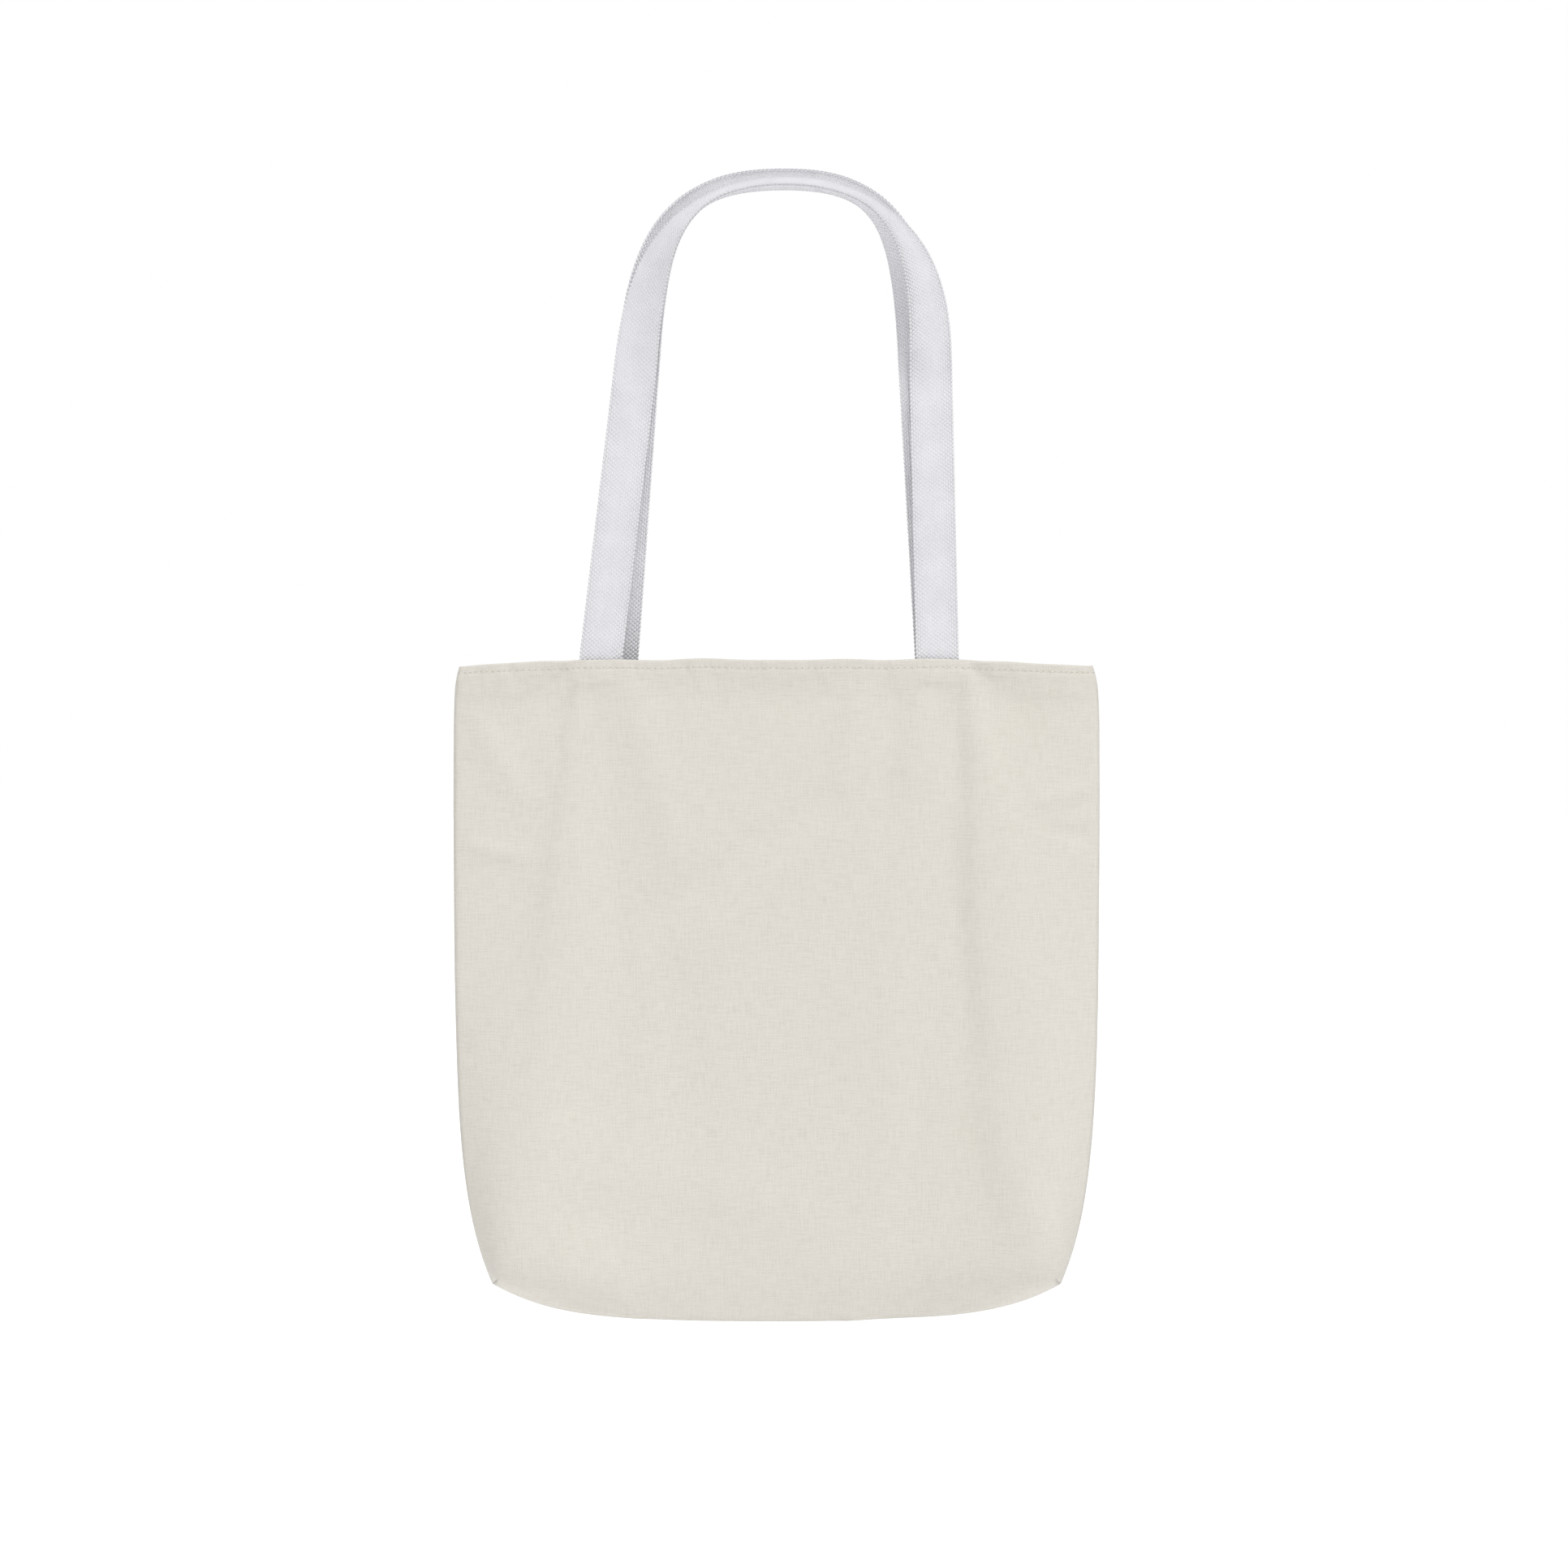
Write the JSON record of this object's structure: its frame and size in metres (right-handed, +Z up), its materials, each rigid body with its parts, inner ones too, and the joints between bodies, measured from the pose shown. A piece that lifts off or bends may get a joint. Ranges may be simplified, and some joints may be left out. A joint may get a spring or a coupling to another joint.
{
  "type": "canvas tote bag",
  "caption": "Flat canvas tote bag with boxed lower corners, a narrow stitched hem and webbing carrying handles that fold down.",
  "frame": {"origin": "the hang point: under the top of the front handle, on the bag's two upright middle planes", "axes": "+Z up, towards the handles; +X across the bag to the viewer's right; -Y the front"},
  "size_m": [0.3984, 0.051, 0.7057],
  "materials": {
    "canvas": "natural cotton canvas, plain weave, matt, off-white with small slubs",
    "webbing": "woven white webbing with raised knuckles, matt",
    "sewing_thread": "spun thread in the canvas's own colour, slight sheen",
    "overlock_thread": "white looped edge thread, matt"
  },
  "bodies": {
    "bag": {"front_panel": "canvas", "back_panel": "canvas", "front_hem_turn": "canvas", "back_hem_turn": "canvas", "front_hem_stitching": "sewing_thread", "back_hem_stitching": "sewing_thread", "left_side_seam_allowance": "canvas", "left_side_overlock_thread": "overlock_thread", "left_side_seam_stitching": "sewing_thread", "right_side_seam_allowance": "canvas", "right_side_overlock_thread": "overlock_thread", "right_side_seam_stitching": "sewing_thread", "bottom_seam_allowance": "canvas", "bottom_overlock_thread": "overlock_thread", "bottom_seam_stitching": "sewing_thread", "left_corner_seam_allowance": "canvas", "left_corner_overlock_thread": "overlock_thread", "left_corner_seam_stitching": "sewing_thread", "right_corner_seam_allowance": "canvas", "right_corner_overlock_thread": "overlock_thread", "right_corner_seam_stitching": "sewing_thread", "front_left_handle_tail": "webbing", "front_left_tail_stitching": "sewing_thread", "front_right_handle_tail": "webbing", "front_right_tail_stitching": "sewing_thread", "rear_left_handle_tail": "webbing", "rear_left_tail_stitching": "sewing_thread", "rear_right_handle_tail": "webbing", "rear_right_tail_stitching": "sewing_thread"},
    "front_handle": {"front_handle": "webbing"},
    "rear_handle": {"rear_handle": "webbing"}
  },
  "joints": [
    {"name": "front_handle_fold", "type": "hinge", "parent": "bag", "child": "front_handle", "pos_m": [0, -0.01095, -0.286], "axis": [1, 0, 0], "range_deg": [0, 168]},
    {"name": "rear_handle_fold", "type": "hinge", "parent": "bag", "child": "rear_handle", "pos_m": [0, 0.01095, -0.286], "axis": [-1, 0, 0], "range_deg": [0, 168]}
  ]
}
